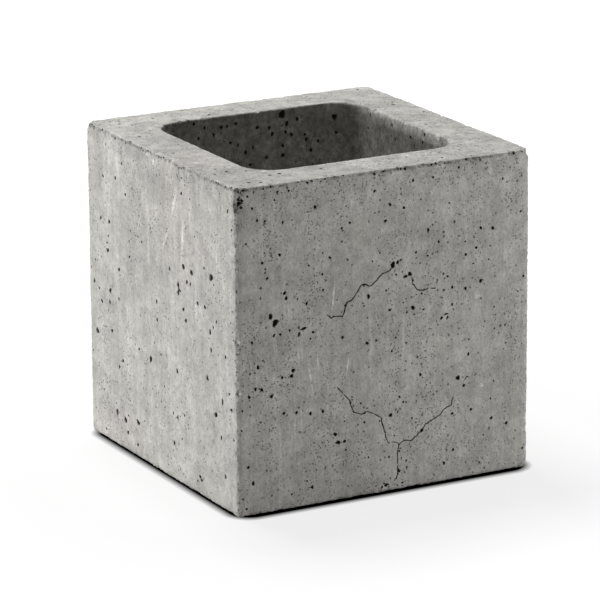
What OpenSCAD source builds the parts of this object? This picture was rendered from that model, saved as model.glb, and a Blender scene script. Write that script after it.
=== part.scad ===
// Load-bearing half block: one cast concrete unit with a single drafted core that runs right through it.
// Millimetres, +Z up. The origin is at the middle of the lower bed face.

/* [Block] */
// Length along the wall, X
block_length = 190; // [150:1:300]
// Width across the wall, Y
block_width = 190; // [150:1:300]
// Height of the course, Z
block_height = 190; // [90:1:250]

/* [Core] */
// Thickness of the two end webs at the upper bed face
end_web = 29; // [24:1:40]
// Thickness of the two face shells at the upper bed face
face_shell = 29; // [24:1:40]
// Radius of the core's upright corners at the upper bed face
core_corner_radius = 18; // [12:1:30]
// How much thicker each wall is at the lower bed face, so that the mould core strips upwards
core_draft = 2.5; // [0.5:0.5:5]
// Rounding of the core's two mouths
mouth_radius = 2; // [1:0.5:4]

/* [Edges] */
// Rounding of the four upright outer corners
corner_radius = 3; // [2.5:0.5:8]
// Rounding of the arrises round both bed faces
arris_radius = 2; // [1:0.5:2.5]

/* [Hidden] */

$fn = 64;
// How far every cutter runs past the face that it cuts
overrun = 1;
quarter_turn = 90;
sides = [0 : 3];

half_length = block_length / 2;
half_width = block_width / 2;
// Axes of the core's corner cones, which the draft leaves in place
core_axis_x = half_length - end_web - core_corner_radius;
core_axis_y = half_width - face_shell - core_corner_radius;

// Radius of the core's corner at a height above the lower bed face
function core_radius_at(z) = core_corner_radius - core_draft * (1 - z / block_height);

// What a rounding takes off a square edge at the origin, with the solid at -x and -y
module rounding_profile(radius) {
    difference() {
        translate([-radius, -radius]) square(radius + overrun);
        translate([-radius, -radius]) circle(radius);
    }
}

// Carries a profile round a rounded rectangle: its x points out of the rectangle and its y points up
module round_outline(half_x, half_y, radius) {
    for (side = sides) {
        along_x = side % 2 == 1;
        reach = along_x ? half_y : half_x;
        straight = (along_x ? half_x : half_y) - radius;
        rotate(quarter_turn * side) {
            translate([reach, 0])
                rotate([quarter_turn, 0, 0])
                    linear_extrude(height = 2 * straight, center = true) children();
            translate([reach - radius, straight])
                rotate_extrude(angle = quarter_turn) translate([radius, 0]) children();
        }
    }
}

// Places a cut at the upper bed face, and its mirror image at the lower one
module at_both_beds() {
    translate([0, 0, block_height]) children();
    mirror([0, 0, 1]) children();
}

module upright_corner_cuts() {
    for (side = sides) {
        along_x = side % 2 == 1;
        rotate(quarter_turn * side)
            translate([along_x ? half_width : half_length, along_x ? half_length : half_width, -overrun])
                linear_extrude(height = block_height + 2 * overrun) rounding_profile(corner_radius);
    }
}

module arris_cuts() {
    at_both_beds()
        round_outline(half_length, half_width, corner_radius) rounding_profile(arris_radius);
}

// One pair of drafted core walls, the length of the straight stretch between the corner cones
module core_walls(axis, straight, low, high) {
    low_reach = axis + core_radius_at(low);
    high_reach = axis + core_radius_at(high);
    rotate([quarter_turn, 0, 0])
        linear_extrude(height = 2 * straight, center = true)
            polygon([[-low_reach, low], [low_reach, low], [high_reach, high], [-high_reach, high]]);
}

module core_cut() {
    low = -overrun;
    high = block_height + overrun;
    core_walls(core_axis_x, core_axis_y, low, high);
    rotate(quarter_turn) core_walls(core_axis_y, core_axis_x, low, high);
    for (x = [-core_axis_x, core_axis_x], y = [-core_axis_y, core_axis_y])
        translate([x, y, low])
            cylinder(h = high - low, r1 = core_radius_at(low), r2 = core_radius_at(high));
}

// Rounds one mouth: the outline is the core's own wall at the height where the rounding starts
module mouth_cut(start_height) {
    wall_radius = core_radius_at(start_height);
    round_outline(core_axis_x + wall_radius, core_axis_y + wall_radius, wall_radius)
        mirror([1, 0]) rounding_profile(mouth_radius);
}

module core_mouth_cuts() {
    translate([0, 0, block_height]) mouth_cut(block_height - mouth_radius);
    mirror([0, 0, 1]) mouth_cut(mouth_radius);
}

module half_block() {
    color("#a5a49f")
        difference() {
            translate([-half_length, -half_width]) cube([block_length, block_width, block_height]);
            upright_corner_cuts();
            arris_cuts();
            core_cut();
            core_mouth_cuts();
        }
}

half_block();
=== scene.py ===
import math
import bpy
import numpy as np
from mathutils import Matrix, Vector, noise


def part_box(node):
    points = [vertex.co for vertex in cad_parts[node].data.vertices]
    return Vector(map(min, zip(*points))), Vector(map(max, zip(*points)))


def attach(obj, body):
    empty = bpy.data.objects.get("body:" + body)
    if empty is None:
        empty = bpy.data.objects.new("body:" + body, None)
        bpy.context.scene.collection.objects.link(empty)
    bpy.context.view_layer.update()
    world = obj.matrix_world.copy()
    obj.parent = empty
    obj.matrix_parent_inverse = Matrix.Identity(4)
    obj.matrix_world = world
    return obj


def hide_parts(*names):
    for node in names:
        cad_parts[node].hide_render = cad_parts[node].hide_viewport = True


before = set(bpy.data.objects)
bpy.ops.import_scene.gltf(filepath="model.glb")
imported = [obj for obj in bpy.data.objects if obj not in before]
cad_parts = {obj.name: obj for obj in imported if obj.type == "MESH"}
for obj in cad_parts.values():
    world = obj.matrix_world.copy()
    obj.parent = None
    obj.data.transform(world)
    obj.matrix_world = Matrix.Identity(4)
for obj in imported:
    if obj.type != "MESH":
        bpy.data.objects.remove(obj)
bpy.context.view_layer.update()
mm = 0.001  # lengths below are in millimetres until the mesh is made

blockLow, blockHigh = (np.array(corner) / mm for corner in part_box("half_block"))
halfX, halfY = blockHigh[0], blockHigh[1]
height = blockHigh[2]

blockShape = {
    "endWeb": 29.0, "faceShell": 29.0,  # walls at the upper bed face, as in the solid
    "coreCorner": 18.0, "coreDraft": 2.5,
    "cornerRound": 2.6, "arrisRound": 0.95, "mouthRound": 1.25,
    "sideCells": 38, "upCells": 38, "ringCells": 6,  # coarse grid, about 5 mm a cell
    "flatSize": 5.2, "arrisSize": 0.92, "lowerGrowth": 0.8,  # edge lengths wanted
    "crackSize": 0.32, "poreShare": 0.47, "grade": 0.9,
}
coreAxisX = halfX - blockShape["endWeb"] - blockShape["coreCorner"]
coreAxisY = halfY - blockShape["faceShell"] - blockShape["coreCorner"]


def coreRadius(z):
    return blockShape["coreCorner"] - blockShape["coreDraft"] * (1 - z / height)


def coreOffset(points):  # distance out of the core's wall, into the concrete
    qx, qy = np.abs(points[:, 0]) - coreAxisX, np.abs(points[:, 1]) - coreAxisY
    outside = np.hypot(np.maximum(qx, 0), np.maximum(qy, 0))
    return outside + np.minimum(np.maximum(qx, qy), 0) - coreRadius(points[:, 2])


def faceInset(points):  # distance in from the nearest outer side
    return np.minimum(halfX - np.abs(points[:, 0]), halfY - np.abs(points[:, 1]))


def bedDepth(points):  # distance from the nearest bed face
    return np.minimum(points[:, 2], height - points[:, 2])


def outerDistance(points):  # from the nearest outer edge
    upright = np.hypot(halfX - np.abs(points[:, 0]), halfY - np.abs(points[:, 1]))
    return np.minimum(upright, np.hypot(faceInset(points), bedDepth(points)))


def mouthDistance(points):  # from the nearer edge of the core
    return np.hypot(coreOffset(points), bedDepth(points))


def arrisDistance(points):
    return np.minimum(outerDistance(points), mouthDistance(points))


def softNoise(points, length, seed):
    shift = Vector((seed * 7.31, seed * 3.17, seed * 5.93))
    return np.array([noise.noise(Vector(p) + shift) for p in points / length])


def driftNoise(points, length, seed):
    shift = Vector((seed * 4.71, seed * 9.13, seed * 2.37))
    return np.array([noise.noise_vector(Vector(p) + shift) for p in points / length])


# Coarse closed grid: up the outside, over the top, down the core and back under
def outline(cells, axisX, axisY, radius):
    columns = []
    for side in range(4):
        reach, span = (axisX, axisY) if side % 2 == 0 else (axisY, axisX)
        along = (np.arange(cells) / cells - 0.5) * (2 * span + math.pi / 2 * radius)
        over = np.maximum(np.abs(along) - span, 0) / max(radius, 1e-9)
        run = np.sign(along) * (np.minimum(np.abs(along), span) + radius * np.sin(over))
        out = reach + radius * np.cos(over)
        turn = math.radians(90 * side)
        columns.append(np.stack([out * math.cos(turn) - run * math.sin(turn),
                                 out * math.sin(turn) + run * math.cos(turn)], axis=1))
    return np.concatenate(columns)


def blockGrid():
    cells, ups, rings = (blockShape[k] for k in ("sideCells", "upCells", "ringCells"))
    outer = outline(cells, halfX, halfY, 0)
    rows = [(outer, height * j / ups) for j in range(ups)]
    mouth = outline(cells, coreAxisX, coreAxisY, coreRadius(height))
    rows += [(outer + (mouth - outer) * j / rings, height) for j in range(rings)]
    for j in range(ups):
        z = height * (1 - j / ups)
        rows.append((outline(cells, coreAxisX, coreAxisY, coreRadius(z)), z))
    mouth = outline(cells, coreAxisX, coreAxisY, coreRadius(0))
    rows += [(mouth + (outer - mouth) * j / rings, 0) for j in range(rings)]
    points = np.concatenate([np.column_stack([xy, np.full(len(xy), z)]) for xy, z in rows])
    wide, tall = len(outer), len(rows)
    i, j = np.meshgrid(np.arange(wide), np.arange(tall))
    nextI, nextJ = (i + 1) % wide, (j + 1) % tall
    a, b, c, d = j * wide + i, j * wide + nextI, nextJ * wide + nextI, nextJ * wide + i
    even = ((i + j) % 2 == 0)[..., None]
    first = np.where(even, np.stack([a, b, c], -1), np.stack([a, b, d], -1)).reshape(-1, 3)
    second = np.where(even, np.stack([a, c, d], -1), np.stack([b, c, d], -1)).reshape(-1, 3)
    return points, np.concatenate([first, second])


gridPoints, gridTris = blockGrid()
print("coarse grid:", len(gridPoints), "points,", len(gridTris), "triangles")


# Helpers for Geometry Nodes
def newTree(name, settings):  # one named input for each setting
    tree = bpy.data.node_groups.new(name, "GeometryNodeTree")
    tree.interface.new_socket("Geometry", in_out="INPUT", socket_type="NodeSocketGeometry")
    for label, value in settings.items():
        kind = "NodeSocketInt" if isinstance(value, int) else "NodeSocketFloat"
        tree.interface.new_socket(label, in_out="INPUT", socket_type=kind).default_value = value
    tree.interface.new_socket("Material", in_out="INPUT", socket_type="NodeSocketMaterial")
    tree.interface.new_socket("Geometry", in_out="OUTPUT", socket_type="NodeSocketGeometry")
    return tree


def addNode(tree, kind, links=(), **settings):
    node = tree.nodes.new(kind)
    for key, value in settings.items():
        setattr(node, key, value)
    for socket, source in dict(links).items():
        target = node.inputs[socket]
        if isinstance(source, bpy.types.NodeSocket):
            tree.links.new(source, target)
        else:
            target.default_value = source
    return node


def mathNode(tree, operation, first, second):
    return addNode(tree, "ShaderNodeMath", {0: first, 1: second}, operation=operation).outputs[0]


def vectorNode(tree, operation, first, second=(0, 0, 0)):
    return addNode(tree, "ShaderNodeVectorMath", {0: first, 1: second}, operation=operation).outputs[0]


def rangeNode(tree, value, low, high, toLow=0.0, toHigh=1.0):
    return addNode(tree, "ShaderNodeMapRange", {
        "Value": value, "From Min": low, "From Max": high, "To Min": toLow, "To Max": toHigh}).outputs[0]


def finishTree(tree, given, geometry):
    real = addNode(tree, "GeometryNodeRealizeInstances", {"Geometry": geometry}).outputs[0]
    done = addNode(tree, "GeometryNodeSetMaterial", {"Geometry": real, "Material": given["Material"]}).outputs[0]
    addNode(tree, "NodeGroupOutput", {"Geometry": done})
    return tree


def finishScatter(tree, given, spots, seed):  # gives each point a radius, few of them large
    draw = addNode(tree, "FunctionNodeRandomValue", {"Seed": seed}, data_type="FLOAT").outputs[1]
    few = mathNode(tree, "POWER", draw, given["Skew"])
    radius = rangeNode(tree, few, 0.0, 1.0, given["Smallest"], given["Largest"])
    store = addNode(tree, "GeometryNodeStoreNamedAttribute", {"Geometry": spots, "Name": "holeRadius", "Value": radius},
                    data_type="FLOAT", domain="POINT").outputs[0]
    return finishTree(tree, given, addNode(tree, "GeometryNodePointsToVertices", {"Points": store}).outputs[0])


def runTree(tree, mesh, values):  # gives the tree's result as a plain mesh
    carrier = bpy.data.objects.new(tree.name + "Carrier", mesh)
    bpy.context.scene.collection.objects.link(carrier)
    modifier = carrier.modifiers.new(tree.name, "NODES")
    modifier.node_group = tree
    for item in tree.interface.items_tree:
        if item.in_out == "INPUT" and item.name in values:
            modifier[item.identifier] = values[item.name]
    graph = bpy.context.evaluated_depsgraph_get()
    made = bpy.data.meshes.new_from_object(carrier.evaluated_get(graph))
    carrier.modifiers.remove(modifier)
    bpy.data.objects.remove(carrier)
    return made


def readPoints(mesh):
    flat = np.zeros(len(mesh.vertices) * 3)
    mesh.vertices.foreach_get("co", flat)
    return flat.reshape(-1, 3)


def readValues(mesh, name):
    flat = np.zeros(len(mesh.vertices))
    mesh.attributes[name].data.foreach_get("value", flat)
    return flat


concrete = bpy.data.materials.new("castConcrete")

# Air pores scattered over every face of the casting
poreScatter = {"Spacing": 4.0, "Density": 0.0058, "Cluster": 34.0, "Smallest": 0.52, "Largest": 1.15, "Skew": 2.2, "Seed": 11}
poreKeep = {"seen": 0.75, "core": 0.45, "under": 0.15, "hidden": 1.0}  # part of the scattered pores that each wall keeps
hiddenGrowth = 1.3  # stands in for the larger pores marked on the seen faces


def poreTree():
    tree = newTree("poreScatter", poreScatter)
    given = addNode(tree, "NodeGroupInput").outputs
    place = addNode(tree, "GeometryNodeInputPosition").outputs[0]
    size = mathNode(tree, "DIVIDE", 1.0, given["Cluster"])
    cloud = addNode(tree, "ShaderNodeTexNoise", {"Vector": place, "Scale": size, "Detail": 2.0}).outputs[0]
    dense = rangeNode(tree, cloud, 0.36, 0.66, 0.12, 1.0)  # thick in places, thin in others
    scatter = addNode(tree, "GeometryNodeDistributePointsOnFaces", {
        "Mesh": given["Geometry"], "Distance Min": given["Spacing"], "Density Max": given["Density"],
        "Density Factor": dense, "Seed": given["Seed"]}, distribute_method="POISSON")
    return finishScatter(tree, given, scatter.outputs["Points"], given["Seed"])


gridMesh = bpy.data.meshes.new("blockGrid")
gridMesh.from_pydata(gridPoints.tolist(), [], gridTris.tolist())
poreMesh = runTree(poreTree(), gridMesh, {**poreScatter, "Material": concrete})
scatteredPores = np.column_stack([readPoints(poreMesh), readValues(poreMesh, "holeRadius")])
print("scattered pores:", len(scatteredPores))

# The larger pores where the block has them: millimetres across and down each wall, then radius
poreMarks = {
    "shadedFace": [  # across from the front corner, down from the top
        (28, 40, 1.2), (17, 43, 1.1), (20, 52, 1.0), (31, 62, 1.3), (32, 65, 1.4), (45, 70, 1.1), (10, 87, 1.1),
        (49, 87, 1.1), (36, 107, 1.5), (35, 110, 1.4), (29, 110, 1.1), (12, 114, 1.2), (16, 115, 1.3), (8, 118, 1.2),
        (22, 120, 1.3), (30, 131, 1.2), (38, 132, 1.2), (47, 134, 1.3), (55, 134, 1.2), (63, 149, 1.5),
        (65, 154, 1.6), (69, 154, 1.3), (7, 159, 1.1), (10, 169, 1.4), (85, 72, 1.5), (99, 21, 1.2), (108, 24, 1.1),
        (96, 30, 1.2), (89, 12, 1.1), (114, 9, 1.1), (124, 39, 1.2), (131, 47, 1.0), (167, 44, 1.3), (156, 54, 1.1),
        (149, 57, 1.1), (159, 74, 1.4), (149, 77, 1.2), (140, 75, 1.1), (114, 83, 1.6), (144, 129, 1.8),
        (148, 134, 1.2), (120, 156, 1.4), (151, 116, 1.1), (119, 123, 1.2), (68, 93, 1.1), (84, 99, 1.2),
        (153, 149, 1.1), (177, 161, 1.2), (141, 171, 1.1), (135, 178, 1.1), (73, 28, 1.0), (60, 46, 1.0),
        (14, 19, 1.0), (19, 20, 0.9), (30, 22, 0.9), (11, 12, 1.0), (25, 9, 0.8), (34, 5, 0.9), (8, 5, 0.9),
        (4, 6, 0.7), (12, 3, 0.7), (18, 2, 0.7)],
    "litFace": [  # across from the far left corner, down from the top
        (39, 26, 1.2), (52, 33, 1.1), (30, 54, 1.5), (27, 72, 1.6), (42, 80, 1.4), (8, 95, 1.4), (29, 103, 1.2),
        (18, 105, 1.3), (11, 125, 2.0), (31, 120, 1.3), (45, 135, 1.3), (40, 140, 1.2), (36, 169, 1.9),
        (47, 171, 2.0), (64, 168, 2.0), (50, 178, 1.3), (63, 182, 1.3), (82, 124, 2.0), (91, 87, 1.3),
        (116, 122, 1.4), (126, 58, 1.9), (136, 59, 1.9), (160, 56, 2.3), (130, 66, 1.4), (119, 70, 1.6),
        (119, 75, 1.4), (143, 75, 1.4), (152, 75, 1.4), (125, 83, 1.4), (128, 89, 1.4), (158, 88, 1.5),
        (159, 98, 1.3), (154, 116, 1.5), (172, 125, 1.5), (183, 127, 1.4), (164, 135, 1.9), (111, 167, 1.4),
        (116, 150, 1.3), (175, 169, 1.4)],
    "topBed": [  # across from the lit face, down from the far face
        (14, 180, 1.2), (20, 183, 1.1), (32, 171, 1.1), (64, 171, 1.1), (136, 182, 1.1), (169, 107, 1.2),
        (178, 53, 1.2), (184, 79, 1.1), (14, 17, 1.1)],
    "coreBack": [  # across from the middle, down from the top
        (21, 4, 2.6), (24, 10, 1.5), (31, 8, 1.3), (56, 9, 1.4), (4, 10, 1.2), (-10, 6, 1.1), (-16, 7, 1.1),
        (14, 15, 1.3), (12, 11, 1.1), (23, 15, 1.1), (27, 17, 1.2), (21, 29, 1.4), (10, 29, 1.2), (1, 22, 1.1),
        (-4, 24, 1.2), (21, 23, 1.1), (45, 23, 1.2), (36, 18, 1.0), (-38, 3, 1.0), (-31, 6, 1.1), (-35, 12, 1.0),
        (-25, 11, 1.1), (-20, 7, 1.2), (-14, 17, 1.1), (-1, 32, 1.1), (-9, 19, 1.0), (37, 21, 1.2), (40, 28, 1.3),
        (57, 18, 1.2)],
    "coreRight": [(10, 13, 1.2), (-8, 8, 1.3), (-24, 3, 1.2), (-22, 8, 1.1), (14, 5, 1.2), (40, 4, 1.1)],
}
slotMark = {"place": (172, 125)}  # the one upright slot in the lit face
poreTrim = {"shadedFace": 0.8, "litFace": 0.9, "topBed": 0.9, "coreBack": 0.95, "coreRight": 0.9}
crackBeads = [  # torn spots and wide places of the cracks: across, down, radius, stretch, turn
    (22, 74, 1.5, 1.3, 0.4), (25, 78, 1.9, 1.7, 0.8), (24, 85, 0.9, 2.6, 0.6), (28, 85, 0.8, 1.3, 1.2),
    (40, 83, 0.7, 2.4, 0.0), (40, 87, 1.0, 1.8, 0.2), (43, 84, 1.3, 2.2, 1.4), (101, 56, 1.7, 1.6, 0.4),
    (104, 55, 1.1, 1.8, 0.5), (106, 54, 0.7, 2.4, 0.9), (112, 63, 1.3, 1.3, 2.0), (109, 64, 1.1, 1.5, 1.1),
    (107, 61, 0.5, 1.2, 0.0), (103, 62, 0.7, 1.1, 0.0), (114, 67, 0.7, 1.4, 0.0), (110, 85, 0.6, 1.3, 1.6),
    (115, 87, 0.5, 2.6, 1.0), (121, 85, 0.7, 1.7, 1.2), (136, 90, 0.9, 2.2, 1.5), (137, 92, 0.8, 1.5, 0.6),
    (133, 92, 0.9, 2.0, 1.0), (140, 85, 0.8, 2.4, 0.0), (141, 88, 0.5, 1.6, 2.2), (154, 63, 0.6, 2.2, 1.3),
    (135, 69, 0.5, 2.6, 1.0), (137, 68, 0.7, 1.0, 0.0), (82, 65, 0.7, 1.8, 1.5), (70, 75, 0.8, 1.6, 0.3),
    (71, 73, 0.5, 1.4, 0.6), (62, 80, 0.5, 1.2, 0.5), (73, 132, 0.7, 1.2, 0.0), (74, 135, 0.6, 1.2, 0.0),
    (92, 146, 0.6, 1.2, 0.0), (105, 162, 0.6, 1.8, 1.2), (98, 186, 0.5, 3.0, 1.4), (107, 185, 0.6, 1.8, 1.0),
    (104, 186, 0.5, 1.5, 1.2)]
# The seen faces are a little out of square: drop at the left, change across
faceSkew = {"shadedFace": (1.7, -2.8), "litFace": (0.4, 1.3)}

shadedLean = {"slide": 0.011, "sag": 1.8}  # marks of the shaded face: share moved towards the front corner, drop at its foot


def markPlace(wall, across, down):
    first, change = faceSkew.get(wall, (0, 0))
    z = height - down - (first + change * across / (2 * halfX)) * math.sin(math.pi * min(max(down / height, 0), 1))
    if wall == "shadedFace":
        sag = shadedLean["sag"] * (down / height) ** 2 * (1 - 0.6 * across / (2 * halfX))
        return (across * (1 - shadedLean["slide"]) - halfX, -halfY, max(z - sag, 1.5))
    if wall == "litFace":
        return (-halfX, halfY - across, z)
    if wall == "topBed":
        return (across - halfX, halfY - down, height)
    if wall == "coreBack":
        return (across, coreAxisY + coreRadius(z), z)
    return (coreAxisX + coreRadius(z), across, z)


# Hairline cracks of the shaded face: across from the front corner, down from the top
crackLines = {
    "upper": [(56, 77), (59, 79), (61, 81), (63, 80), (68, 81), (69, 79), (70, 76), (71, 73), (74, 73), (77, 69),
              (80, 65), (82, 64), (85, 66), (87, 66), (92, 62), (94, 60), (99, 59), (101, 56)],
    "upperRight": [(114, 67), (114, 69), (117, 73), (121, 74), (124, 73), (129, 74)],
    "lowerLeft": [(63, 120), (65, 122), (69, 127), (72, 130), (74, 135), (75, 138), (80, 140), (84, 139), (88, 141),
                  (93, 144), (94, 148), (95, 151), (96, 156), (98, 160), (103, 160), (105, 162)],
    "lowerRight": [(105, 162), (108, 160), (113, 161), (116, 159), (120, 156), (122, 153), (124, 152), (128, 151),
                   (133, 148), (135, 146), (140, 144), (140, 142), (141, 139)],
    "lowerStem": [(105, 162), (104, 166), (104, 171), (104, 176), (104, 179), (103, 182), (100, 184), (97, 185)],
    "farRight": [(148, 131), (150, 129), (154, 130), (157, 128)],
}
crackPath = {"Step": 0.8, "Wander": 0.95, "Wobble": 2.0}
crackLook = {"halfWidth": 0.28, "depth": 1.2, "snap": 0.2, "tipStrength": 0.35, "openLength": 3.4, "faintest": 0.15}
crackStrength = {"upper": 1.0, "upperRight": 0.62, "lowerLeft": 0.56, "lowerRight": 0.66, "lowerStem": 0.85, "farRight": 0.4}


def crackTree():
    tree = newTree("crackPath", crackPath)
    given = addNode(tree, "NodeGroupInput").outputs
    curve = addNode(tree, "GeometryNodeMeshToCurve", {"Mesh": given["Geometry"]}).outputs[0]
    even = addNode(tree, "GeometryNodeResampleCurve", {"Curve": curve, "Length": given["Step"]}, mode="LENGTH").outputs[0]
    place = addNode(tree, "GeometryNodeInputPosition").outputs[0]
    pitch = mathNode(tree, "DIVIDE", 1.0, given["Wobble"])
    cloud = addNode(tree, "ShaderNodeTexNoise", {
        "Vector": place, "Scale": pitch, "Detail": 3.0, "Roughness": 0.7}).outputs["Color"]
    middle = vectorNode(tree, "SUBTRACT", cloud, (0.5, 0.5, 0.5))
    sized = addNode(tree, "ShaderNodeVectorMath", {0: middle, "Scale": given["Wander"]}, operation="SCALE").outputs[0]
    flat = vectorNode(tree, "MULTIPLY", sized, (2.0, 0.0, 2.0))  # stays in the plane of the face
    moved = addNode(tree, "GeometryNodeSetPosition", {"Geometry": even, "Offset": flat}).outputs[0]
    return finishTree(tree, given, addNode(tree, "GeometryNodeCurveToMesh", {"Curve": moved}).outputs[0])


crackNodes = crackTree()
crackSegments = []  # start, end, strength at each
for name, marks in crackLines.items():
    path = [markPlace("shadedFace", *mark) for mark in marks]
    lineMesh = bpy.data.meshes.new(name)
    lineMesh.from_pydata(path, [(k, k + 1) for k in range(len(path) - 1)], [])
    made = runTree(crackNodes, lineMesh, {**crackPath, "Material": concrete})
    spots = readPoints(made)
    for k, edge in enumerate(made.edges):
        fade = min(1.0, crackLook["tipStrength"] + 6 * min(k, len(made.edges) - k) / len(made.edges))
        start, end = (spots[v] for v in edge.vertices)
        fade *= 0.66 + 1.1 * noise.noise(Vector(start) / crackLook["openLength"])  # opens and closes along its way
        if crackStrength[name] * fade > crackLook["faintest"]:
            crackSegments.append((start, end, min(1.0, crackStrength[name] * fade)))
print("crack segments:", len(crackSegments))

# Knocks along the arrises: scattered by nodes along every edge of the block
chipScatter = {"Spacing": 2.8, "Keep": 0.46, "Smallest": 1.1, "Largest": 4.4, "Skew": 2.4, "Seed": 5}


def chipTree():
    tree = newTree("chipScatter", chipScatter)
    given = addNode(tree, "NodeGroupInput").outputs
    curve = addNode(tree, "GeometryNodeMeshToCurve", {"Mesh": given["Geometry"]}).outputs[0]
    spots = addNode(tree, "GeometryNodeCurveToPoints", {"Curve": curve, "Length": given["Spacing"]}, mode="LENGTH").outputs[0]
    draw = addNode(tree, "FunctionNodeRandomValue", {"Seed": given["Seed"]}, data_type="FLOAT").outputs[1]
    drop = addNode(tree, "FunctionNodeCompare", {0: draw, 1: given["Keep"]},
                   data_type="FLOAT", operation="GREATER_THAN").outputs[0]
    kept = addNode(tree, "GeometryNodeDeleteGeometry", {"Geometry": spots, "Selection": drop}, domain="POINT").outputs[0]
    return finishScatter(tree, given, kept, mathNode(tree, "ADD", given["Seed"], 1.0))


def arrisLines():  # every edge of the block as a wire
    corners = [(x, y, z) for z in (0, height) for x, y in ((-halfX, -halfY), (halfX, -halfY), (halfX, halfY), (-halfX, halfY))]
    wires = [(k, (k + 1) % 4) for k in range(4)] + [(4 + k, 4 + (k + 1) % 4) for k in range(4)] + [(k, k + 4) for k in range(4)]
    for z in (height, 0):
        loop = outline(16, coreAxisX, coreAxisY, coreRadius(z))
        start = len(corners)
        corners += [(x, y, z) for x, y in loop]
        wires += [(start + k, start + (k + 1) % len(loop)) for k in range(len(loop))]
    wire = bpy.data.meshes.new("arrisWire")
    points, edges = [], []
    for a, b in wires:  # each edge is a curve of its own
        edges.append((len(points), len(points) + 1))
        points += [corners[a], corners[b]]
    wire.from_pydata(points, edges, [])
    return wire


chipMesh = runTree(chipTree(), arrisLines(), {**chipScatter, "Material": concrete})
scatteredChips = np.column_stack([readPoints(chipMesh), readValues(chipMesh, "holeRadius")])
print("scattered chips:", len(scatteredChips))
chipBite = {"bed": 0.32, "mouth": 0.2, "upright": 0.18}  # depth as a share of the radius
arrisPits = {"share": 0.7, "drop": (0.6, 2.8), "radius": (0.42, 0.8)}

knockMarks = [  # the larger knocks of the edges: place, way in, radius, bite
    ((-halfX, -halfY, height), (0.55, 0.8, -0.22), 16.0, 2.8), ((-halfX + 1, -halfY, height - 9), (0.3, 0.9, 0.1), 5.5, 2.3),
    ((-halfX + 5, -halfY, height - 1), (0.1, 0.9, -0.3), 3.0, 1.5), ((halfX, -halfY, height), (-0.72, 0.6, -0.2), 22.0, 3.0),
    ((halfX, -halfY, height - 14), (-0.7, 0.7, 0), 6.0, 0.9), ((-halfX, halfY, height), (0.66, -0.66, -0.36), 15.0, 2.6),
    ((-halfX + 12, halfY, height), (0, -0.6, -0.8), 9.0, 1.0), ((-halfX, -halfY, height - 88), (0.7, 0.7, 0), 5.0, 1.3),
    ((-halfX, -halfY, height - 92), (0.7, 0.7, 0), 4.0, 1.0), ((-halfX, -halfY, height - 112), (0.7, 0.7, 0), 5.0, 1.1),
    ((-halfX, -halfY, height - 117), (0.7, 0.7, 0), 4.0, 1.0), ((-halfX, halfY, height - 118), (0.7, -0.7, 0), 4.0, 1.4),
    ((halfX, halfY, height), (-0.6, -0.6, -0.5), 8.0, 2.0), ((-halfX, -halfY, 0), (0.6, 0.6, 0.5), 6.0, 1.6),
    ((halfX, -halfY, 0), (-0.6, 0.6, 0.5), 6.0, 1.8), ((-halfX, halfY, 0), (0.6, -0.6, 0.5), 6.0, 1.8),
    ((halfX, halfY, 0), (-0.6, -0.6, 0.5), 7.0, 2.2), ((halfX, halfY, height - 64), (-0.7, -0.7, 0), 5.0, 1.4),
    ((halfX, halfY, 52), (-0.7, -0.7, 0), 6.0, 1.7), ((halfX, -halfY, 30), (-0.7, 0.7, 0), 4.0, 1.0),
    ((34, -halfY, height), (0, 0.7, -0.7), 3.0, 0.9), ((70, -halfY, height), (0, 0.7, -0.7), 3.5, 1.0),
    ((-halfX, 35, height), (0.7, 0, -0.7), 4.0, 1.0),
]
roughMarks = [  # torn spots, with the radius they cover
    ("litFace", 144, 180, 4.0), ("litFace", 119, 73, 3.0), ("litFace", 30, 96, 2.6), ("shadedFace", 95, 185, 3.0),
    ("shadedFace", 4, 8, 3.4)]


cellSize = 6.0


def makeTable(points):
    cells = np.floor(points / cellSize).astype(np.int64) + 100
    keys = (cells[:, 0] * 1000 + cells[:, 1]) * 1000 + cells[:, 2]
    order = np.argsort(keys, kind="stable")
    return keys[order], order


def nearIndex(table, low, high):
    keys, order = table
    low = np.floor(np.asarray(low) / cellSize).astype(np.int64) + 100
    high = np.floor(np.asarray(high) / cellSize).astype(np.int64) + 100
    found = []
    for i in range(low[0], high[0] + 1):
        for j in range(low[1], high[1] + 1):
            row = (i * 1000 + j) * 1000
            found.append(order[np.searchsorted(keys, row + low[2]):np.searchsorted(keys, row + high[2], side="right")])
    return np.concatenate(found)


def lineDistance(points, start, end):
    run = end - start
    share = np.clip((points - start) @ run / max(run @ run, 1e-9), 0, 1)
    foot = start + share[:, None] * run
    return np.linalg.norm(points - foot, axis=1), foot


def wallKind(place):
    x, y, z = place
    if x < 0.5 - halfX or y < 0.5 - halfY or z > height - 0.5:
        return "seen"
    if z < 0.5:
        return "under"
    return "core" if faceInset(place[None])[0] > 5 else "hidden"


# All pores in one list: place, radius, stretch, turn of the long way
random = np.random.default_rng(23)
pores = []
for wall, marks in poreMarks.items():
    for across, down, radius in marks:
        stretch = 2.6 if wall == "litFace" and (across, down) == slotMark["place"] else random.uniform(0.95, 1.25)
        pores.append((np.array(markPlace(wall, across, down)), radius * poreTrim[wall], stretch, 0.0))
for wall, across, down, reach in roughMarks:  # a torn spot is a swarm of small ragged pores
    middle = np.array(markPlace(wall, across, down))
    side = np.array([1.0, 0, 0]) if wall == "shadedFace" else np.array([0, 1.0, 0])
    for step in range(int(4 + reach * 1.6)):
        slide, rise = random.normal(0, reach * 0.36, 2)
        spot = middle + side * slide + np.array([0, 0, rise])
        pores.append((spot, random.uniform(0.45, 0.9), random.uniform(1.1, 2.0), random.uniform(0, 3.1)))
for across, down, radius, stretch, turn in crackBeads:
    pores.append((np.array(markPlace("shadedFace", across, down)), radius, stretch, turn))
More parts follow.
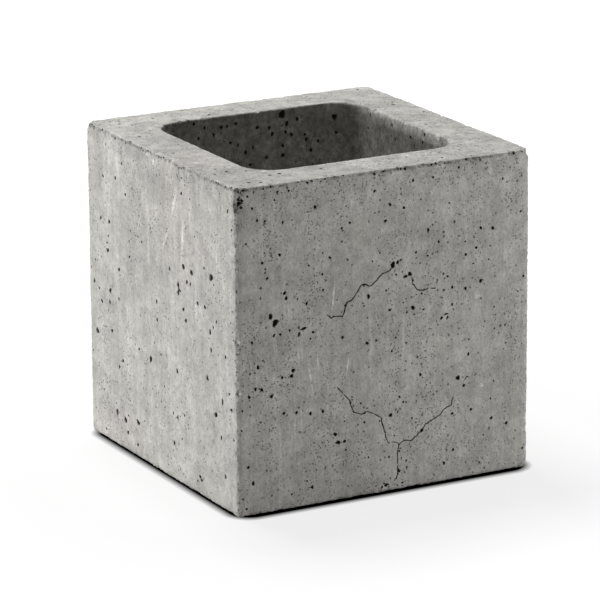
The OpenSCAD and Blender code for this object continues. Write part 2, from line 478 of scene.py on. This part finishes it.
for x, y, z, radius in scatteredChips:  # pits just under the upper arris
    if z > height - 0.5 and outerDistance(np.array([[x, y, z]]))[0] < 0.5 and random.uniform() < arrisPits["share"]:
        drop = random.uniform(*arrisPits["drop"])
        pores.append((np.array([x, y, z - drop]), random.uniform(*arrisPits["radius"]),
                      random.uniform(1.1, 2.0), random.uniform(0.9, 2.2)))
markedPlaces = np.array([p[0] for p in pores])
for x, y, z, radius in scatteredPores:
    place = np.array([x, y, z])
    apart = np.linalg.norm(markedPlaces - place, axis=1).min()
    if arrisDistance(place[None])[0] < radius + 2.2 or apart < radius + 2.5:
        continue
    kept = wallKind(place)
    if random.uniform() > poreKeep[kept]:
        continue
    radius *= hiddenGrowth if kept == "hidden" else 1.0
    pores.append((place, radius, random.uniform(1.0, 1.45), random.uniform(-0.6, 0.6)))
print("pores to carve:", len(pores))


# Finer triangles only where a pore, crack or arris needs them
def sizeWanted(points):
    grade = blockShape["grade"]
    fine = blockShape["arrisSize"] * (1 + blockShape["lowerGrowth"] * (points[:, 2] < height / 2) * (bedDepth(points) < 12))
    wanted = np.minimum(blockShape["flatSize"], fine + grade * np.maximum(arrisDistance(points) - 1.6, 0))
    table = makeTable(points)
    for place, radius, stretch, turn in pores:
        reach = radius * stretch * 1.1 + 4.0
        near = nearIndex(table, place - reach, place + reach)
        away = np.linalg.norm(points[near] - place, axis=1)
        wanted[near] = np.minimum(
            wanted[near], radius * blockShape["poreShare"] + grade * np.maximum(away - 1.1 * radius * stretch ** 0.5, 0))
    for start, end, strength in crackSegments:
        near = nearIndex(table, np.minimum(start, end) - 3, np.maximum(start, end) + 3)
        away, foot = lineDistance(points[near], start, end)
        wanted[near] = np.minimum(wanted[near], blockShape["crackSize"] + grade * np.maximum(away - 0.5, 0))
    return wanted


def splitLong(points, tris, slack):
    sides = np.concatenate([tris[:, [0, 1]], tris[:, [1, 2]], tris[:, [2, 0]]])
    edges, back = np.unique(np.sort(sides, axis=1), axis=0, return_inverse=True)
    ends = points[edges]
    middle = ends.mean(axis=1)
    marked = np.linalg.norm(ends[:, 0] - ends[:, 1], axis=1) > slack * sizeWanted(middle)
    fresh = np.where(marked, len(points) + np.cumsum(marked) - 1, -1)
    mids = fresh[back.reshape(3, -1).T]
    count = (mids >= 0).sum(axis=1)
    made = [tris[count == 0]]
    t, m = tris[count == 3], mids[count == 3]
    made += [np.column_stack([t[:, 0], m[:, 0], m[:, 2]]), np.column_stack([m[:, 0], t[:, 1], m[:, 1]]),
             np.column_stack([m[:, 2], m[:, 1], t[:, 2]]), m]
    allPoints = np.concatenate([points, middle[marked]])
    for turn in range(3):
        t, m = np.roll(tris, -turn, axis=1), np.roll(mids, -turn, axis=1)
        one = (count == 1) & (m[:, 0] >= 0)
        made += [np.column_stack([t[one, 0], m[one, 0], t[one, 2]]), np.column_stack([m[one, 0], t[one, 1], t[one, 2]])]
        two = (count == 2) & (m[:, 2] < 0)
        a, b, c, p, q = t[two, 0], t[two, 1], t[two, 2], m[two, 0], m[two, 1]
        made.append(np.column_stack([p, b, q]))
        short = (np.linalg.norm(allPoints[a] - allPoints[q], axis=1)
                 < np.linalg.norm(allPoints[p] - allPoints[c], axis=1))[:, None]
        made.append(np.where(short, np.column_stack([a, p, q]), np.column_stack([a, p, c])))
        made.append(np.where(short, np.column_stack([a, q, c]), np.column_stack([p, q, c])))
    return allPoints, np.concatenate(made), int(marked.sum())


points, tris = gridPoints, gridTris
for step in range(6):
    points, tris, added = splitLong(points, tris, 1.4)
    print("split", step + 1, "added", added, "points, now", len(tris), "triangles")
    if not added:
        break


# Rounding of the upright corners, the arrises and the core's mouths, uneven along each edge
def roundPair(inset, depth, radius):  # turns a square edge at (0, 0) into a quarter round
    close = (inset < radius) & (depth < radius)
    du, dv = inset - radius, depth - radius
    size = np.maximum(np.hypot(du, dv), 1e-9)
    return np.where(close, radius + radius * du / size, inset), np.where(close, radius + radius * dv / size, depth)


def roundBlock(flat):
    worn = 1 + 0.45 * softNoise(flat, 9.0, 1) + 0.35 * softNoise(flat, 3.2, 2)
    out = flat.copy()
    radius = blockShape["cornerRound"] * np.clip(1 + 0.35 * softNoise(flat, 14.0, 3), 0.6, 1.5)
    dx, dy = np.abs(flat[:, 0]) - (halfX - radius), np.abs(flat[:, 1]) - (halfY - radius)
    corner = (dx > 0) & (dy > 0)
    shrink = np.where(corner, np.maximum(dx, dy) / np.maximum(np.hypot(dx, dy), 1e-9), 1.0)
    signs = np.sign(flat[:, :2])
    newX = np.where(corner, halfX - radius + dx * shrink, np.abs(flat[:, 0]))
    newY = np.where(corner, halfY - radius + dy * shrink, np.abs(flat[:, 1]))
    inset = np.where(corner, radius - np.maximum(dx, dy), faceInset(flat))
    alongX = np.where(corner, dx / np.maximum(np.hypot(dx, dy), 1e-9),
                      (halfX - np.abs(flat[:, 0]) <= halfY - np.abs(flat[:, 1])) * 1.0)
    alongY = np.where(corner, dy / np.maximum(np.hypot(dx, dy), 1e-9), 1.0 - alongX)
    depth = bedDepth(flat)
    upper = flat[:, 2] > height / 2
    newInset, newDepth = roundPair(
        inset, depth, blockShape["arrisRound"] * np.clip(worn, 0.35, 2.0) * np.where(upper, 1.0, 2.4))
    outer = inset < 12
    push = np.where(outer, newInset - inset, 0)
    newX, newY = newX - alongX * push, newY - alongY * push
    newDepth = np.where(outer, newDepth, depth)
    offset = np.maximum(coreOffset(flat), 0)
    mouthInset, mouthDepth = roundPair(offset, depth, blockShape["mouthRound"] * np.clip(0.6 + 0.4 * worn, 0.6, 1.4))
    inner = offset < 12
    qx, qy = np.maximum(np.abs(flat[:, 0]) - coreAxisX, 0), np.maximum(np.abs(flat[:, 1]) - coreAxisY, 0)
    size = np.maximum(np.hypot(qx, qy), 1e-9)
    grow = np.where(inner, mouthInset - offset, 0)
    newX, newY = newX + qx / size * grow, newY + qy / size * grow
    newDepth = np.where(inner, mouthDepth, newDepth)
    out[:, 0], out[:, 1] = newX * signs[:, 0], newY * signs[:, 1]
    out[:, 2] = np.where(upper, height - newDepth, newDepth)
    return out


def pointNormals(points, tris):
    a, b, c = (points[tris[:, k]] for k in range(3))
    faces = np.cross(b - a, c - a)
    normals = np.zeros_like(points)
    for k in range(3):
        np.add.at(normals, tris[:, k], faces)
    return normals / np.maximum(np.linalg.norm(normals, axis=1), 1e-12)[:, None]


outerAway, mouthAway = outerDistance(points), mouthDistance(points)
points = roundBlock(points)
volume = np.einsum("ij,ij->i", points[tris[:, 0]], np.cross(points[tris[:, 1]], points[tris[:, 2]])).sum() / 6
if volume < 0:
    tris = tris[:, ::-1].copy()
normals = pointNormals(points, tris)
print("rounded block: volume", round(abs(volume) / 1e6, 4), "litres")

hollow = np.zeros(len(points))  # 1 at the bottom of a pore or crack, where the material paints shade
broken = np.zeros(len(points))  # 1 on freshly chipped concrete

# Slight waviness of the mould and a sandy roughness along the arrises, always inwards
faceRelief = {
    "waveHeight": 0.28, "waveLength": 46.0, "rippleHeight": 0.10, "rippleLength": 8.5,
    "crumbHeight": 0.75, "crumbLengths": (2.3, 1.2), "outerReach": 2.2, "mouthReach": 1.8, "mouthShare": 0.4,
}
nearArris = np.maximum(np.exp(-(outerAway / faceRelief["outerReach"]) ** 2),
                       faceRelief["mouthShare"] * np.exp(-(mouthAway / faceRelief["mouthReach"]) ** 2))
wave = 0.5 + 0.5 * softNoise(points, faceRelief["waveLength"], 4)
ripple = 0.5 + 0.5 * softNoise(points, faceRelief["rippleLength"], 5)
coarse, fine = faceRelief["crumbLengths"]
crumb = np.abs(softNoise(points, coarse, 6)) + 0.7 * np.abs(softNoise(points, fine, 7))
bottom = np.clip((points[:, 2] - 1.0) / 4.0, 0, 1)  # the lower bed stays flat
sink = (faceRelief["waveHeight"] * wave * bottom + faceRelief["rippleHeight"] * ripple * bottom
        + faceRelief["crumbHeight"] * crumb * nearArris)
points = points - normals * sink[:, None]

# Chips: each one is a ball pushed into an arris
table = makeTable(points)


def wayIn(place):  # into the concrete from an edge
    inward = np.zeros(3)
    if abs(abs(place[0]) - halfX) < 0.5:
        inward[0] = -np.sign(place[0])
    if abs(abs(place[1]) - halfY) < 0.5:
        inward[1] = -np.sign(place[1])
    if place[2] < 0.5 or place[2] > height - 0.5:
        inward[2] = 1 if place[2] < 0.5 else -1
    if abs(coreOffset(place[None])[0]) < 0.5:
        wall = np.array([max(abs(place[0]) - coreAxisX, 0) * np.sign(place[0]),
                         max(abs(place[1]) - coreAxisY, 0) * np.sign(place[1]), 0])
        inward = inward + wall / max(np.linalg.norm(wall), 1e-9)
    return inward


def pushBall(place, inward, radius, bite, seed):
    inward = np.array(inward, float) / np.linalg.norm(inward)
    upright = abs(abs(place[0]) - halfX) + abs(abs(place[1]) - halfY) < 1
    rounded = 0.41 * blockShape["cornerRound" if upright else "arrisRound"]  # the edge is already round
    middle = place + inward * (rounded + bite - radius)
    near = nearIndex(table, middle - radius - 1, middle + radius + 1)
    warped = points[near] + driftNoise(points[near], min(radius * 0.7, 4.0), seed) * min(radius * 0.3, 1.3)
    away = warped + driftNoise(points[near], 1.5, seed) * 0.4 - middle
    size = np.linalg.norm(away, axis=1)
    inside = size < radius
    hit = near[inside]
    deep = radius - size[inside]
    points[hit] += away[inside] / size[inside][:, None] * deep[:, None]
    broken[hit] = np.maximum(broken[hit], np.clip(deep / 0.6, 0, 1))


for k, (place, inward, radius, bite) in enumerate(knockMarks):
    pushBall(np.array(place, float), inward, radius, bite, 30 + k)
for k, (x, y, z, radius) in enumerate(scatteredChips):
    place = np.array([x, y, z])
    kind = "mouth" if mouthDistance(place[None])[0] < 0.5 else "upright" if bedDepth(place[None])[0] > 0.5 else "bed"
    pushBall(place, wayIn(place), radius, chipBite[kind] * radius, 60 + k)
crumb = np.abs(softNoise(points, 1.3, 8))
points -= pointNormals(points, tris) * (0.5 * crumb * broken)[:, None]  # broken concrete is grainy
print("arrises chipped")

# Cracks: narrow grooves along each wandering line
table = makeTable(points)
for start, end, strength in crackSegments:
    near = nearIndex(table, np.minimum(start, end) - 2, np.maximum(start, end) + 2)
    away, foot = lineDistance(*(spot * (1, 0, 1) + np.array([0, -halfY, 0]) for spot in (points[near], start, end)))
    onFace = points[near, 1] < -halfY + 3
    snap = onFace & (away < crackLook["snap"])
    points[near[snap], 0], points[near[snap], 2] = foot[snap, 0], foot[snap, 2]
    share = np.clip(1 - np.where(snap, 0, away) / crackLook["halfWidth"], 0, 1) * onFace * (0.4 + 0.6 * strength)
    deeper = share > hollow[near]
    hit = near[deeper]
    points[hit, 1] += crackLook["depth"] * (share[deeper] - hollow[hit])
    hollow[hit] = share[deeper]
print("cracks opened")

# Pores: steep round pits with a slightly ragged rim
poreLook = {"depth": 1.25, "edgePower": 2.4, "snap": 0.17, "twoLobes": 0.12, "threeLobes": 0.08, "facing": 0.6}
table = makeTable(points)
for k, (place, radius, stretch, turned) in enumerate(pores):
    reach = radius * stretch * 1.4 + 0.6
    near = nearIndex(table, place - reach, place + reach)
    if not len(near):
        continue
    axis = normals[near[np.argmin(np.linalg.norm(points[near] - place, axis=1))]]
    axis = axis / np.linalg.norm(axis)
    near = near[normals[near] @ axis > poreLook["facing"]]
    along = np.cross(axis, (0, 0, 1) if abs(axis[2]) < 0.9 else (0, 1, 0))
    along /= np.linalg.norm(along)
    rise = np.cross(along, axis)
    along, rise = along * math.cos(turned) + rise * math.sin(turned), rise * math.cos(turned) - along * math.sin(turned)
    offset = points[near] - place
    narrow = stretch ** -0.5  # keeps the pore's area
    u, v = (offset @ along) / narrow, (offset @ rise) * narrow
    away, turn = np.hypot(u, v), np.arctan2(v, u)
    rim = radius * (1 + poreLook["twoLobes"] * np.sin(2 * turn + k) + poreLook["threeLobes"] * np.sin(3 * turn + 2.3 * k))
    fit = rim / np.maximum(away, 1e-6)
    snap = np.abs(away - rim) < poreLook["snap"] * radius
    shift = along * (u * (fit - 1) * narrow)[:, None] + rise * (v * (fit - 1) / narrow)[:, None]
    points[near[snap]] += shift[snap]
    share = np.sqrt(np.clip(1 - (np.where(snap, rim, away) / rim) ** poreLook["edgePower"], 0, 1))
    points[near] -= axis * (share * radius * poreLook["depth"])[:, None]
    hollow[near] = np.maximum(hollow[near], share)
print("pores carved")

points = np.clip(points, blockLow, blockHigh)
blockMesh = bpy.data.meshes.new("halfBlock")
blockMesh.from_pydata((points * mm).tolist(), [], tris.tolist())
blockMesh.validate()
for name, values in (("hollow", hollow), ("broken", broken), ("arris", nearArris)):
    blockMesh.attributes.new(name, "FLOAT", "POINT").data.foreach_set("value", values.astype(np.float32))
blockMesh.shade_smooth()
blockMesh.set_sharp_from_angle(angle=math.radians(48))
blockMesh.materials.append(concrete)
halfBlock = bpy.data.objects.new("castHalfBlock", blockMesh)
bpy.context.scene.collection.objects.link(halfBlock)
print("block mesh:", len(blockMesh.vertices), "points,", len(blockMesh.polygons), "triangles")

# Grey cast concrete
concreteLook = {
    "paste": (0.474, 0.467, 0.438, 1.0), "pale": (0.62, 0.61, 0.59, 1.0), "scraped": (0.76, 0.75, 0.72, 1.0),
    "rosy": (0.500, 0.468, 0.446, 1.0), "olive": (0.455, 0.452, 0.405, 1.0),
    "paintedHollowShade": (0.022, 0.021, 0.020, 1.0), "pinDark": (0.075, 0.072, 0.067, 1.0),
    "roughness": 0.93, "specular": 0.25,
    "clouds": {  # scale, detail, roughness, upright stretch, then the range that is read and what it becomes
        "mottle": (24.0, 5.0, 0.6, 1.0, 0.35, 0.65, 0.90, 1.09), "patch": (120.0, 4.0, 0.6, 1.0, 0.35, 0.65, 0.86, 1.12),
        "grain": (620.0, 4.0, 0.75, 0.6, 0.36, 0.64, 0.87, 1.12), "dust": (1700.0, 2.0, 0.6, 1.0, 0.3, 0.7, 0.88, 1.12),
        "streak": (190.0, 4.0, 0.65, 0.05, 0.36, 0.64, 0.935, 1.06), "blotch": (240.0, 4.0, 0.7, 1.0, -0.15, 0.15, 0.74, 1.26),
        "crowd": (42.0, 3.0, 0.6, 0.3, 0.44, 0.58, 0.35, 1.0), "swarm": (62.0, 4.0, 0.6, 0.3, 0.47, 0.60, 0.0, 1.0),
        "worn": (75.0, 3.0, 0.55, 1.0, 0.42, 0.54, 0.0, 1.0), "torn": (420.0, 3.0, 0.7, 1.0, 0.3, 0.65, 1.0, 0.78),
        "arrisShadeLine": (260.0, 4.0, 0.7, 1.0, 0.42, 0.56, 0.0, 1.0), "rosy": (9.0, 2.0, 0.55, 1.0, 0.48, 0.66, 0.0, 0.6),
        "olive": (13.0, 3.0, 0.55, 1.0, 0.55, 0.75, 0.0, 0.5), "pale": (70.0, 4.0, 0.7, 1.0, 0.64, 0.8, 0.0, 0.7),
        "wipe": (260.0, 3.0, 0.6, 0.05, 0.58, 0.70, 0.0, 0.75), "wipeArea": (18.0, 2.0, 0.55, 1.0, 0.44, 0.60, 0.0, 1.0)},
    "places": {  # in metres: the core's walls, then heights near the upper arris and the outer walls
        "coreWall": (0.0662, 0.0675), "wornRise": (0.165, 0.187), "lineFoot": (0.1872, 0.1880), "lineHead": (0.1888, 0.1893),
        "bed": (0.1891, 0.1894), "outerWall": (0.088, 0.090)},
    "coreShadeMiddle": 0.52, "lineShade": 0.55, "paintedRimHighlight": 1.13, "stainShade": 0.83,
    "pinDots": (290.0, 0, 0.08, 0.25, 0.04, 0.9),  # scale, draw, least, most, soft edge, chance
    "fleckDots": (760.0, 1, 0.10, 0.40, 0.10, 0.7),
    "fleckShare": 0.26, "fleckStrength": 0.8, "pinStrength": 0.9,
    "bumps": {"grain": 0.24, "patch": 0.5, "dust": 0.07, "pins": -0.4, "flecks": -0.3},
    "scuffs": [  # pale scrapes and dabs: wall, across, down, half height, half width, lean
        ("shadedFace", 47, 112, 12.0, 0.9, 0.16), ("shadedFace", 52, 105, 6.0, 0.6, 0.10),
        ("shadedFace", 62, 70, 12.0, 0.8, -0.11), ("shadedFace", 71, 111, 8.0, 0.7, -0.18),
        ("shadedFace", 157, 82, 2.6, 2.2, 0.0), ("shadedFace", 165, 10, 2.8, 2.0, 0.0),
        ("shadedFace", 160, 136, 1.8, 1.8, 0.0), ("litFace", 115, 23, 11.0, 2.2, 0.30),
        ("litFace", 125, 43, 13.0, 1.6, 0.10), ("litFace", 103, 48, 9.0, 1.4, 0.60),
        ("shadedFace", 133, 3, 1.4, 2.4, 0.0), ("shadedFace", 171, 3, 1.2, 2.2, 0.0),
        ("litFace", 82, 3, 1.8, 3.0, 0.0), ("litFace", 90, 6, 2.6, 2.2, 0.0)],
    "stains": [  # darker patches, in the same order
        ("litFace", 92, 20, 13.0, 22.0, 0.0), ("litFace", 62, 5, 6.0, 22.0, 0.0), ("litFace", 17, 5, 6.0, 10.0, 0.0)],
}


def paintConcrete(material, look):
    material.use_nodes = True
    tree = material.node_tree
    tree.nodes.clear()
    place = addNode(tree, "ShaderNodeTexCoord").outputs["Object"]
    axes = addNode(tree, "ShaderNodeSeparateXYZ", {0: place}).outputs
    places = look["places"]

    def sums(operation, first, second):
        return mathNode(tree, operation, first, second)

    def spread(value, *levels):
        return rangeNode(tree, value, *levels)

    def product(first, *others):
        for other in others:
            first = sums("MULTIPLY", first, other)
        return first

    def attribute(name):
        return addNode(tree, "ShaderNodeAttribute", attribute_name=name).outputs["Fac"]

    def cloud(name):
        scale, detail, rough, stretch = look["clouds"][name][:4]
        vector = place
        if stretch < 1:
            vector = addNode(tree, "ShaderNodeMapping", {"Vector": place, "Scale": (1.0, 1.0, stretch)}).outputs[0]
        return addNode(tree, "ShaderNodeTexNoise", {
            "Vector": vector, "Scale": scale, "Detail": detail, "Roughness": rough}).outputs[0]

    def mask(name, source=None):
        return spread(cloud(name) if source is None else source, *look["clouds"][name][4:])

    def tint(amount, first, second):
        node = addNode(tree, "ShaderNodeMix", data_type="RGBA")
        for socket, source in ((node.inputs[0], amount), (node.inputs[6], first), (node.inputs[7], second)):
            if isinstance(source, bpy.types.NodeSocket):
                tree.links.new(source, socket)
            else:
                socket.default_value = source
        return node.outputs[2]

    def dots(scale, channel, least, most, soft, chance):  # round specks, one for each cell that draws one
        cells = addNode(tree, "ShaderNodeTexVoronoi", {"Vector": place, "Scale": scale})
        lot = addNode(tree, "ShaderNodeSeparateColor", {0: cells.outputs["Color"]}).outputs[channel]
        size = spread(lot, 1.0 - chance, 1.0, least, most)
        return spread(sums("SUBTRACT", size, cells.outputs["Distance"]), 0.0, soft)

    def onWall(wall, across, down, tall, wide, lean):  # 1 at a marked spot of a wall, 0 around it
        spot = markPlace(wall, across, down)
        way, other, edge, middle = ("X", "Y", halfY, spot[0]) if wall == "shadedFace" else ("Y", "X", halfX, spot[1])
        up = sums("SUBTRACT", axes["Z"], spot[2] * mm)
        side = sums("ADD", sums("SUBTRACT", axes[way], middle * mm), sums("MULTIPLY", up, lean))
        up, side = sums("DIVIDE", up, tall * mm), sums("DIVIDE", side, wide * mm)
        near = spread(sums("ADD", product(up, up), product(side, side)), 0.0, 1.0, 1.0, 0.0)
        return product(near, spread(axes[other], (1.5 - edge) * mm, (3 - edge) * mm, 1.0, 0.0))

    layers = {name: cloud(name) for name in ("patch", "grain", "dust")}
    tone = product(mask("mottle"), *(mask(name, layer) for name, layer in layers.items()), mask("streak"))
    reach = sums("MAXIMUM", sums("ABSOLUTE", axes["X"], 0.0), sums("ABSOLUTE", axes["Y"], 0.0))
    # inside the core the tone is blotchier, which is texture, and a little darker overall, which is painted shade
    coreBlotchAndShade = product(spread(reach, *places["coreWall"], 1.0, 0.0), sums("SUBTRACT", cloud("blotch"), look["coreShadeMiddle"]))
    arris = attribute("arris")
    rough = sums("MAXIMUM", arris, product(spread(axes["Z"], *places["wornRise"]), mask("worn")))  # below the upper arris
    arrisShadeLine = product(spread(axes["Z"], *places["lineFoot"]), spread(axes["Z"], *places["lineHead"], 1.0, 0.0),
                   spread(reach, *places["outerWall"]), mask("arrisShadeLine"))  # painted shade line right under it, broken up by noise
    rim = product(arris, spread(axes["Z"], *places["bed"]))  # painted highlight along the arris on the bed
    tone = product(tone, mask("blotch", coreBlotchAndShade), mask("torn", product(rough, cloud("torn"))),
                   spread(arrisShadeLine, 0.0, 1.0, 1.0, look["lineShade"]), spread(rim, 0.1, 0.8, 1.0, look["paintedRimHighlight"]))
    blot = spread(layers["patch"], 0.38, 0.58, 0.4, 1.0)
    for mark in look["stains"]:
        tone = product(tone, spread(product(onWall(*mark), blot), 0.0, 0.7, 1.0, look["stainShade"]))

    layers["pins"] = product(dots(*look["pinDots"]), mask("crowd"))
    swarm = sums("MAXIMUM", sums("MAXIMUM", mask("swarm"), rough), attribute("broken"))
    layers["flecks"] = product(dots(*look["fleckDots"]), spread(swarm, 0.0, 1.0, look["fleckShare"], 1.0))

    colour = tint(mask("rosy"), look["paste"], look["rosy"])
    colour = tint(mask("olive"), colour, look["olive"])
    colour = tint(mask("pale"), colour, look["pale"])
    colour = tint(product(mask("wipe"), mask("wipeArea")), colour, look["pale"])
    grit = spread(layers["grain"], 0.35, 0.6, 0.2, 1.0)
    for mark in look["scuffs"]:
        colour = tint(product(onWall(*mark), grit), colour, look["scraped"])
    colour = addNode(tree, "ShaderNodeVectorMath", {0: colour, "Scale": tone}, operation="SCALE").outputs[0]
    colour = tint(product(layers["flecks"], look["fleckStrength"]), colour, look["pinDark"])
    # pins are dark specks for pinholes too small to carve: painted shade in them
    colour = tint(product(layers["pins"], look["pinStrength"]), colour, look["pinDark"])
    # painted shade: pores and cracks go near black towards their bottoms
    colour = tint(spread(attribute("hollow"), 0.02, 0.35, 0.0, 0.97), colour, look["paintedHollowShade"])

    heights = 0.0
    for name, share in look["bumps"].items():
        heights = sums("ADD", heights, product(layers[name], share))
    bump = addNode(tree, "ShaderNodeBump", {"Height": heights, "Strength": 1.0, "Distance": mm}).outputs[0]
    shader = addNode(tree, "ShaderNodeBsdfPrincipled", {
        "Base Color": colour, "Normal": bump, "Roughness": look["roughness"], "Specular IOR Level": look["specular"]})
    addNode(tree, "ShaderNodeOutputMaterial", {"Surface": shader.outputs[0]})


paintConcrete(concrete, concreteLook)
print("concrete painted")

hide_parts("half_block")
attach(halfBlock, "root")

# Camera, found from the photograph's corners
cameraView = {
    "azimuth": -28.32, "elevation": 15.78, "roll": -0.38, "distance": 2309.0,
    "right": -3.14, "up": -4.26, "lens": 237.2}


def addCamera(view):
    turn, tip, roll = (math.radians(view[k]) for k in ("azimuth", "elevation", "roll"))
    back = Vector((math.sin(turn) * math.cos(tip), -math.cos(turn) * math.cos(tip), math.sin(tip)))
    right = Vector((math.cos(turn), math.sin(turn), 0))
    up = back.cross(right)
    right, up = right * math.cos(roll) + up * math.sin(roll), up * math.cos(roll) - right * math.sin(roll)
    data = bpy.data.cameras.new("photoCamera")
    data.sensor_width, data.lens = 36.0, view["lens"]
    data.clip_start, data.clip_end = 0.05, 50.0
    camera = bpy.data.objects.new("photoCamera", data)
    spot = Vector((0, 0, height / 2)) + back * view["distance"] + right * view["right"] + up * view["up"]
    camera.matrix_world = Matrix.Translation(spot * mm) @ Matrix((right, up, back)).transposed().to_4x4()
    bpy.context.scene.collection.objects.link(camera)
    bpy.context.scene.camera = camera


addCamera(cameraView)

# White floor that keeps a faint shadow, with a painted contact shadow and painted shade near the block, and a soft
# studio light from the left
studio = {
    "floorSize": 8.0, "floorGlow": (0.81, 1.0), "glowReach": (0.18, 0.5),
    "contactShift": (0.0003, -0.0022), "contactRound": 0.012, "contactReach": 0.006,
    "coreLight": (0.24, 0.10), "coreFade": 0.028, "floorShade": 0.18, "floorBounce": 0.36,
    "ambient": 0.05,
    "lamps": [  # name, place, aim height, width, height, watts
        ("leftKey", (-2.1, 0.55, 0.2), 0.11, 1.0, 0.24, 40.5),
        ("frontFill", (0.9, -0.9, 0.1), 0.09, 0.5, 0.16, 8.8),
        ("topSoft", (-0.06, 0.5, 1.45), 0.15, 0.5, 0.5, 18.8),
        ("backFill", (1.6, 1.6, 0.5), 0.10, 0.8, 0.5, 22.0),
    ],
}


def whiteForCamera(tree):  # 1 for rays that show the background as it is
    path = addNode(tree, "ShaderNodeLightPath").outputs
    seen = mathNode(tree, "MAXIMUM", path["Is Camera Ray"], path["Is Glossy Ray"])
    return mathNode(tree, "MAXIMUM", seen, path["Is Transmission Ray"])


def addStudio(look):
    half = look["floorSize"] / 2
    mesh = bpy.data.meshes.new("studioFloor")
    mesh.from_pydata([(-half, -half, 0), (half, -half, 0), (half, half, 0), (-half, half, 0)], [], [(0, 1, 2, 3)])
    floor = bpy.data.objects.new("studioFloor", mesh)
    bpy.context.scene.collection.objects.link(floor)
    paint = bpy.data.materials.new("floorWhite")
    paint.use_nodes = True
    tree = paint.node_tree
    tree.nodes.clear()
    place = addNode(tree, "ShaderNodeTexCoord").outputs["Object"]
    away = addNode(tree, "ShaderNodeVectorMath", {0: place}, operation="LENGTH").outputs["Value"]
    # painted shade: the floor glows less near the block
    level = rangeNode(tree, away, *look["glowReach"], *look["floorGlow"])
    apart = vectorNode(tree, "ABSOLUTE", vectorNode(tree, "SUBTRACT", place, look["contactShift"] + (0,)))
    edge = look["contactRound"]  # painted contact shadow where the block stands
    inner = halfX * mm - edge
    past = vectorNode(tree, "MAXIMUM", vectorNode(tree, "SUBTRACT", apart, (inner, inner, 0)))
    side = addNode(tree, "ShaderNodeVectorMath", {0: past}, operation="LENGTH").outputs["Value"]
    clear = rangeNode(tree, side, edge, edge + look["contactReach"])
    parts = addNode(tree, "ShaderNodeSeparateXYZ", {0: apart}).outputs
    wide = mathNode(tree, "MAXIMUM", parts["X"], parts["Y"])
    foot = (coreAxisX + coreRadius(0)) * mm  # the floor seen down the core is in shade, darker at its walls
    shaft = rangeNode(tree, wide, foot - look["coreFade"], foot, *look["coreLight"])
    shaft = mathNode(tree, "MULTIPLY", shaft, mathNode(tree, "LESS_THAN", wide, foot + look["coreFade"] / 4))
    clear = mathNode(tree, "MAXIMUM", clear, shaft)
    level = mathNode(tree, "MULTIPLY", level, clear)
    glow = addNode(tree, "ShaderNodeEmission", {"Color": (1, 1, 1, 1), "Strength": level}).outputs[0]

    # the painted contact shadow also darkens the floor's diffuse parts
    def fadedWhite(value):
        return addNode(tree, "ShaderNodeBsdfDiffuse", {"Color": mathNode(tree, "MULTIPLY", clear, value)}).outputs[0]

    shade, plain = fadedWhite(look["floorShade"]), fadedWhite(look["floorBounce"])
    both = addNode(tree, "ShaderNodeAddShader", {0: glow, 1: shade}).outputs[0]
    mix = addNode(tree, "ShaderNodeMixShader", {0: whiteForCamera(tree), 1: plain, 2: both}).outputs[0]
    addNode(tree, "ShaderNodeOutputMaterial", {"Surface": mix})
    mesh.materials.append(paint)
    for name, place, aim, wide, tall, watts in look["lamps"]:
        lamp = bpy.data.lights.new(name, "AREA")
        lamp.shape, lamp.size, lamp.size_y, lamp.energy = "RECTANGLE", wide, tall, watts
        holder = bpy.data.objects.new(name, lamp)
        holder.location = place
        holder.rotation_mode = "QUATERNION"
        holder.rotation_quaternion = (Vector((0, 0, aim)) - Vector(place)).to_track_quat("-Z", "Y")
        bpy.context.scene.collection.objects.link(holder)
    world = bpy.data.worlds.new("studioWorld")
    world.use_nodes = True
    tree = world.node_tree
    tree.nodes.clear()
    level = rangeNode(tree, whiteForCamera(tree), 0.0, 1.0, look["ambient"])
    sky = addNode(tree, "ShaderNodeBackground", {"Color": (1, 1, 1, 1), "Strength": level}).outputs[0]
    addNode(tree, "ShaderNodeOutputWorld", {"Surface": sky})
    bpy.context.scene.world = world
    bpy.context.scene.view_settings.view_transform = "Standard"


addStudio(studio)
print("studio ready")
